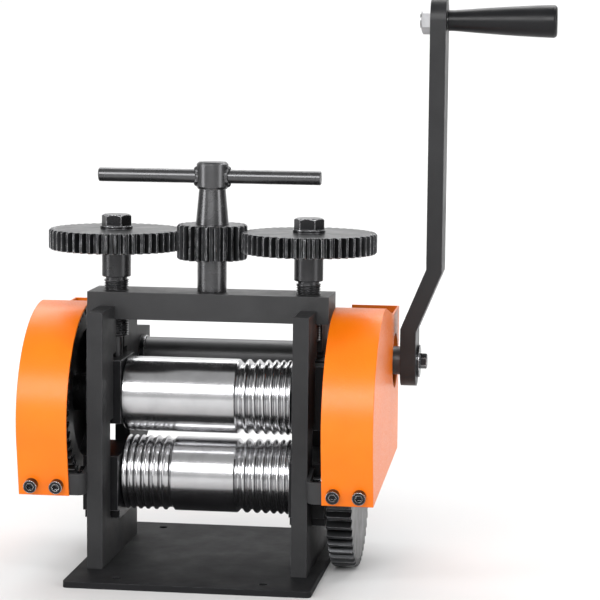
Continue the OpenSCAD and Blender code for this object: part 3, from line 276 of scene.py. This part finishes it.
def dress_by_slot():
    """Give each CAD node the look of its material slot."""
    # Near-white edge tone: painted edge highlights on the gears and dark steel, as well as wear.
    bright_edge = (0.80, 0.80, 0.82)
    looks.update({
        "frame_paint": black_paint("frame_black", (0.028, 0.028, 0.029), 0.42),
        "gear_paint": blackened_steel(
            "gear_black", (0.032, 0.033, 0.035), 0.32, bright_edge, 0.5 * MM
        ),
        "crank_paint": black_paint(
            "crank_black", (0.014, 0.014, 0.015), 0.40, 900.0, 0.07 * MM
        ),
        "key_paint": blackened_steel(
            "key_black", (0.10, 0.10, 0.103), 0.26, (0.35, 0.35, 0.36)
        ),
        # The blocks' pale edge tone is painted edge highlight as well as wear.
        "block_black": black_paint(
            "block_black", (0.006, 0.006, 0.007), 0.36, edge_wear_and_highlight=(0.50, 0.50, 0.52), shine=0.2
        ),
        "screw_black": blackened_steel(
            "screw_black", (0.055, 0.055, 0.057), 0.28, (0.14, 0.14, 0.145)
        ),
        "dark_steel": blackened_steel(
            "dark_steel", (0.030, 0.030, 0.032), 0.24, bright_edge, 0.9 * MM
        ),
        "roll_steel": roll_steel(),
        "bronze": bright_metal("bronze", (0.55, 0.36, 0.16), 0.30),
        "orange_paint": orange_powder(),
        "grip_plastic": grip_plastic(),
        "plated_steel": bright_metal("plated_steel", (0.42, 0.42, 0.43), 0.32),
    })
    for part in frame["record"]["subparts"]:
        dress(looks[part["material_slot"]], part["node"])


def dress_apart():
    """Looks of the nodes that differ from their slot's look."""
    # The base plate gets a darker paint than the frame: painted shade, where the mill shades the
    # plate.
    plain = black_paint("base_black_painted_shade", (0.012, 0.012, 0.013), 0.60, shine=0.08)
    dress(plain, "base_plate")
    satin = black_paint("plate_black", (0.026, 0.026, 0.027), 0.50, shine=0.12)
    dress(satin, "left_side_plate", "right_side_plate")
    ground = blackened_steel("shaft_steel", (0.085, 0.085, 0.087), 0.38, (0.60, 0.60, 0.62))
    dress(ground, "crank_shaft")
    # Gears inside the covers: the same blackened steel with dimmer edges, so less wear and less
    # painted edge highlight.
    dim_edged_gear_steel = blackened_steel("covered_gear_black", (0.035, 0.036, 0.038), 0.34, (0.20, 0.20, 0.21))
    dress(dim_edged_gear_steel, "lower_roll_gear", "upper_roll_gear")
    dress(dim_edged_gear_steel, "left_shaft_pinion", "right_shaft_pinion", "idler_gear")


# Pieces in mesh code

THREAD_PITCH = 1.5 * MM
THREAD_DEPTH = 0.85 * MM
TURN_STEPS = 72
STEPS_PER_PITCH = 8


def finish_mesh(mesh, name, material, body, smooth_angle=math.radians(35)):
    """Turn a bmesh into a piece that rides on a CAD body."""
    bmesh.ops.recalc_face_normals(mesh, faces=mesh.faces[:])
    data = bpy.data.meshes.new(name)
    mesh.to_mesh(data)
    mesh.free()
    data.materials.append(material)
    data.shade_smooth()
    data.set_sharp_from_angle(angle=smooth_angle)
    piece = bpy.data.objects.new(name, data)
    bpy.context.scene.collection.objects.link(piece)
    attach(piece, body)
    return piece


ROUND_PITCHES = (4.2, 4.5, 4.9, 5.5, 6.2, 7.0)
SQUARE_PITCHES = (7.0, 6.6, 5.8, 5.2, 4.8, 4.2, 3.4)
ROUND_OPEN, ROUND_DEPTH = 0.9, 0.3
SQUARE_OPEN, SQUARE_DEPTH = 0.94, 0.38
GROOVE_STEPS = 18
ROLL_STEPS = 144
# Plain rims between the roll's faces and the outer grooves
ROUND_RIM, SQUARE_RIM = 0.8, 0.2


def round_groove(start, pitch, roll_r):
    """Points of a half-round groove, in millimetres."""
    wide = ROUND_OPEN * pitch
    deep = ROUND_DEPTH * wide
    r = (wide * wide / 4 + deep * deep) / (2 * deep)
    half = math.asin(wide / (2 * r))
    points = []
    for i in range(GROOVE_STEPS + 1):
        angle = half * (2 * i / GROOVE_STEPS - 1)
        place = start + pitch / 2 + r * math.sin(angle)
        points.append((place, roll_r - deep + r - r * math.cos(angle)))
    return points


def square_groove(start, pitch, roll_r):
    """Points of a V groove with rounded crests and bottom, in millimetres."""
    wide = SQUARE_OPEN * pitch
    deep = SQUARE_DEPTH * wide
    points = []
    for i in range(GROOVE_STEPS + 1):
        share = i / GROOVE_STEPS
        place = start + (pitch - wide) / 2 + share * wide
        points.append((place, roll_r - deep * math.sin(math.pi * share) ** 2))
    return points


def roll_profile(both):
    """Outline in millimetres from the plain end to the gear's end, as (place, radius) pairs.

    A roll has square grooves only, or round ones as well.
    """
    half, roll_r, journal_r, bore_r = 55.0, 24.25, 11.0, 10.0
    end, web, far = 78.5, 90.5, 98.5
    soft, end_soft = 0.8, 0.6
    points = [(-end, 0.0), (-end, journal_r - end_soft), (-end + end_soft, journal_r)]
    points += [(-half, journal_r), (-half, roll_r - soft)]
    if both:
        points.append((-half + soft, roll_r))
        at = ROUND_RIM - half
        for pitch in ROUND_PITCHES:
            points += round_groove(at, pitch, roll_r)
            at += pitch
        at = half - SQUARE_RIM - sum(SQUARE_PITCHES)
    else:
        at = SQUARE_RIM - half
    for pitch in SQUARE_PITCHES if both else SQUARE_PITCHES[::-1]:
        points += square_groove(at, pitch, roll_r)
        at += pitch
    if not both:
        points.append((half - soft, roll_r))
    points += [(half, roll_r - soft), (half, journal_r), (web, journal_r), (web, bore_r)]
    points += [(far, bore_r), (far, 0.0)]
    return points


def make_roll(node, direction, both):
    """Roll with smooth grooves, in place of the CAD one."""
    low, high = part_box(node)
    centre_y, centre_z = (low[1] + high[1]) / 2, (low[2] + high[2]) / 2
    mesh = bmesh.new()
    rings = []
    for x, r in roll_profile(both):
        count = ROLL_STEPS if r else 1
        ring = []
        for i in range(count):
            angle = 2 * math.pi * i / count
            ring.append(
                mesh.verts.new(
                    (
                        direction * x * MM,
                        centre_y + r * MM * math.cos(angle),
                        centre_z + r * MM * math.sin(angle),
                    )
                )
            )
        rings.append(ring)
    for near, far in zip(rings, rings[1:]):
        for i in range(ROLL_STEPS):
            j = (i + 1) % ROLL_STEPS
            if len(near) == 1:
                mesh.faces.new((near[0], far[j], far[i]))
            elif len(far) == 1:
                mesh.faces.new((near[i], near[j], far[0]))
            else:
                mesh.faces.new((near[i], near[j], far[j], far[i]))
    piece = finish_mesh(mesh, node + "_ground", looks["roll_steel"], node)
    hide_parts(node)


def revolve(mesh, profile, centre, radius_at=None):
    """Turn a profile of (radius, height) pairs round a vertical axis, and close its ends."""
    rings = []
    for r, z in profile:
        ring = []
        for i in range(TURN_STEPS):
            angle = 2 * math.pi * i / TURN_STEPS
            here = radius_at(r, z, angle) if radius_at else r
            ring.append(
                mesh.verts.new(
                    (centre[0] + here * math.cos(angle), centre[1] + here * math.sin(angle), z)
                )
            )
        rings.append(ring)
    for low, high in zip(rings, rings[1:]):
        for i in range(TURN_STEPS):
            j = (i + 1) % TURN_STEPS
            mesh.faces.new((low[i], low[j], high[j], high[i]))
    mesh.faces.new(rings[0])
    mesh.faces.new(rings[-1])


def thread_cut(z, angle, lead_in, run_out):
    """Depth of a right-hand thread below its crest, fading at both ends."""
    turn = (z / THREAD_PITCH - angle / (2 * math.pi)) % 1.0
    depth = THREAD_DEPTH * min(1.0, 1.15 * abs(2 * turn - 1))
    fade = min(1.0, (z - lead_in) / THREAD_PITCH, (run_out - z) / THREAD_PITCH)
    return depth * max(0.0, fade)


def make_threaded_screw(side):
    """Adjusting screw with its real thread, in place of the plain CAD one."""
    node = side + "_screw"
    low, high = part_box(node)
    centre = ((low[0] + high[0]) / 2, (low[1] + high[1]) / 2)
    button_r = 7.0 * MM
    neck_r = 4.0 * MM
    crest_r = 8.0 * MM
    relief_r = 7.0 * MM
    collar_r = (high[0] - low[0]) / 2
    spigot_r = 7.0 * MM
    button_top = low[2] + 4.0 * MM
    thread_low, thread_high = 147.0 * MM, 184.0 * MM
    collar_low, collar_high = 186.0 * MM, 204.0 * MM
    soft = 0.5 * MM
    profile = [
        (button_r, low[2]),
        (button_r, button_top),
        (neck_r, button_top),
        (neck_r, thread_low),
        (relief_r, thread_low),
    ]
    steps = int(STEPS_PER_PITCH * (thread_high - thread_low) / THREAD_PITCH)
    for i in range(steps + 1):
        profile.append((crest_r, thread_low + soft + (thread_high - thread_low - soft) * i / steps))
    profile += [
        (relief_r, thread_high),
        (relief_r, collar_low),
        (collar_r - soft, collar_low),
        (collar_r, collar_low + soft),
        (collar_r, collar_high - soft),
        (collar_r - soft, collar_high),
        (spigot_r, collar_high),
        (spigot_r, high[2]),
    ]

    def radius_at(r, z, angle):
        if r != crest_r:
            return r
        return r - thread_cut(z, angle, thread_low, thread_high)

    mesh = bmesh.new()
    revolve(mesh, profile, centre, radius_at)
    piece = finish_mesh(mesh, side + "_threaded_screw", looks["screw_black"], side + "_screw")
    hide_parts(node)


def make_weld(name, side):
    """Uneven weld bead round the T bar where it enters the head."""
    low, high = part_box("key_bar")
    bar_r = (high[2] - low[2]) / 2
    bar_z = (high[2] + low[2]) / 2
    head_r = 10.25 * MM
    bead_r = 1.5 * MM
    around, across = 48, 12
    mesh = bmesh.new()
    rings = []
    for i in range(around):
        angle = 2 * math.pi * i / around
        wobble = noise.noise(Vector((4.0 * math.cos(angle), 4.0 * math.sin(angle), side)))
        here = bead_r * (1.0 + 0.35 * wobble + 0.12 * math.sin(14 * angle))
        reach = bar_r + 0.25 * here
        bulge = math.sqrt(head_r**2 - (reach * math.sin(angle)) ** 2)
        ring = []
        for j in range(across):
            turn = 2 * math.pi * j / across
            out = reach + here * math.cos(turn)
            ring.append(
                mesh.verts.new(
                    (
                        side * (bulge + here * math.sin(turn)),
                        out * math.sin(angle),
                        bar_z + out * math.cos(angle),
                    )
                )
            )
        rings.append(ring)
    for i in range(around):
        for j in range(across):
            mesh.faces.new(
                (
                    rings[i][j],
                    rings[i][(j + 1) % across],
                    rings[(i + 1) % around][(j + 1) % across],
                    rings[(i + 1) % around][j],
                )
            )
    piece = finish_mesh(mesh, name, looks["key_paint"], "key")


def make_floor():
    """Pale floor that curves up into a backdrop."""
    reach, wall_y, wall_top, bend = 6.0, 2.6, 3.2, 1.0
    outline = [Vector((0, -4.0, 0)), Vector((0, wall_y - bend, 0))]
    steps = 12
    for i in range(1, steps + 1):
        angle = math.pi / 2 * i / steps
        outline.append(
            Vector((0, wall_y - bend + bend * math.sin(angle), bend - bend * math.cos(angle)))
        )
    outline.append(Vector((0, wall_y, wall_top)))
    mesh = bmesh.new()
    rows = [[mesh.verts.new((x, p.y, p.z)) for p in outline] for x in (-reach, reach)]
    for i in range(len(outline) - 1):
        face = mesh.faces.new((rows[0][i], rows[1][i], rows[1][i + 1], rows[0][i + 1]))
        face.smooth = True
    data = bpy.data.meshes.new("floor")
    mesh.to_mesh(data)
    mesh.free()
    floor = bpy.data.objects.new("floor", data)
    bpy.context.scene.collection.objects.link(floor)
    m = Shader("pale_floor", (0.70, 0.70, 0.70), 0.7)
    m.set("Base Color", m.mixed(m.noise(3.0), (0.69, 0.69, 0.69), (0.71, 0.71, 0.71)))
    data.materials.append(m.material)


def add_softbox(name, place, target, size, watts):
    """Rectangular softbox that looks at a point."""
    data = bpy.data.lights.new(name, "AREA")
    data.shape = "RECTANGLE"
    data.size, data.size_y = size
    data.energy = watts
    lamp = bpy.data.objects.new(name, data)
    lamp.location = place
    lamp.rotation_euler = (Vector(target) - Vector(place)).to_track_quat("-Z", "Y").to_euler()
    bpy.context.scene.collection.objects.link(lamp)


# Height of the surround's direction, low and high, and its strength there
WORLD_FALL = (0.0, 0.6, 0.62, 0.46)
# How far to the side the direction points, low and high, and the share of the strength there
WORLD_SIDE = (0.35, 0.9, 1.0, 0.35)
# Name, place, target, size and watts of each softbox
MIDDLE = (0.0, 0.0, 0.15)
SOFTBOXES = (
    ("front_box", (-0.1, -1.8, 1.05), MIDDLE, (1.6, 0.7), 30),
    ("left_box", (-1.7, -0.9, 0.7), MIDDLE, (0.6, 1.4), 18),
    ("right_box", (1.7, -0.7, 0.7), MIDDLE, (0.6, 1.4), 13),
    ("back_box", (0.0, 1.2, 1.6), MIDDLE, (2.0, 0.8), 20),
    ("wall_box", (0.0, 0.9, 2.4), (0.0, 2.6, 1.2), (4.0, 0.6), 60),
)


def make_surround():
    """Pale surround that is stronger near the horizon and weaker at the sides."""
    world = bpy.data.worlds.new("studio")
    world.use_nodes = True
    tree = world.node_tree
    ground = tree.nodes["Background"]
    ground.inputs["Color"].default_value = (1, 1, 1, 1)
    place = tree.nodes.new("ShaderNodeTexCoord")
    split = tree.nodes.new("ShaderNodeSeparateXYZ")
    apart = tree.nodes.new("ShaderNodeMath")
    apart.operation = "ABSOLUTE"
    both = tree.nodes.new("ShaderNodeMath")
    both.operation = "MULTIPLY"
    tree.links.new(place.outputs["Generated"], split.inputs["Vector"])
    tree.links.new(split.outputs["X"], apart.inputs[0])
    ramps = ((split.outputs["Z"], WORLD_FALL), (apart.outputs[0], WORLD_SIDE))
    for into, (value, limits) in zip(both.inputs, ramps):
        ramp = tree.nodes.new("ShaderNodeMapRange")
        for key, number in zip(("From Min", "From Max", "To Min", "To Max"), limits):
            ramp.inputs[key].default_value = number
        tree.links.new(value, ramp.inputs["Value"])
        tree.links.new(ramp.outputs["Result"], into)
    tree.links.new(both.outputs[0], ground.inputs["Strength"])
    bpy.context.scene.world = world


def make_light():
    """Soft studio light: the surround and large softboxes."""
    make_surround()
    for softbox in SOFTBOXES:
        add_softbox(*softbox)


def make_print():
    """Plain tone curve, so that blacks and the orange stay deep."""
    view = bpy.context.scene.view_settings
    view.view_transform = "Standard"
    view.look = "None"


make_camera()
dress_by_slot()
dress_apart()
for side in ("left", "right"):
    make_threaded_screw(side)
make_roll("lower_roll", 1, True)
make_roll("upper_roll", -1, False)
make_weld("left_weld_bead", -1)
make_weld("right_weld_bead", 1)
make_floor()
make_light()
make_print()
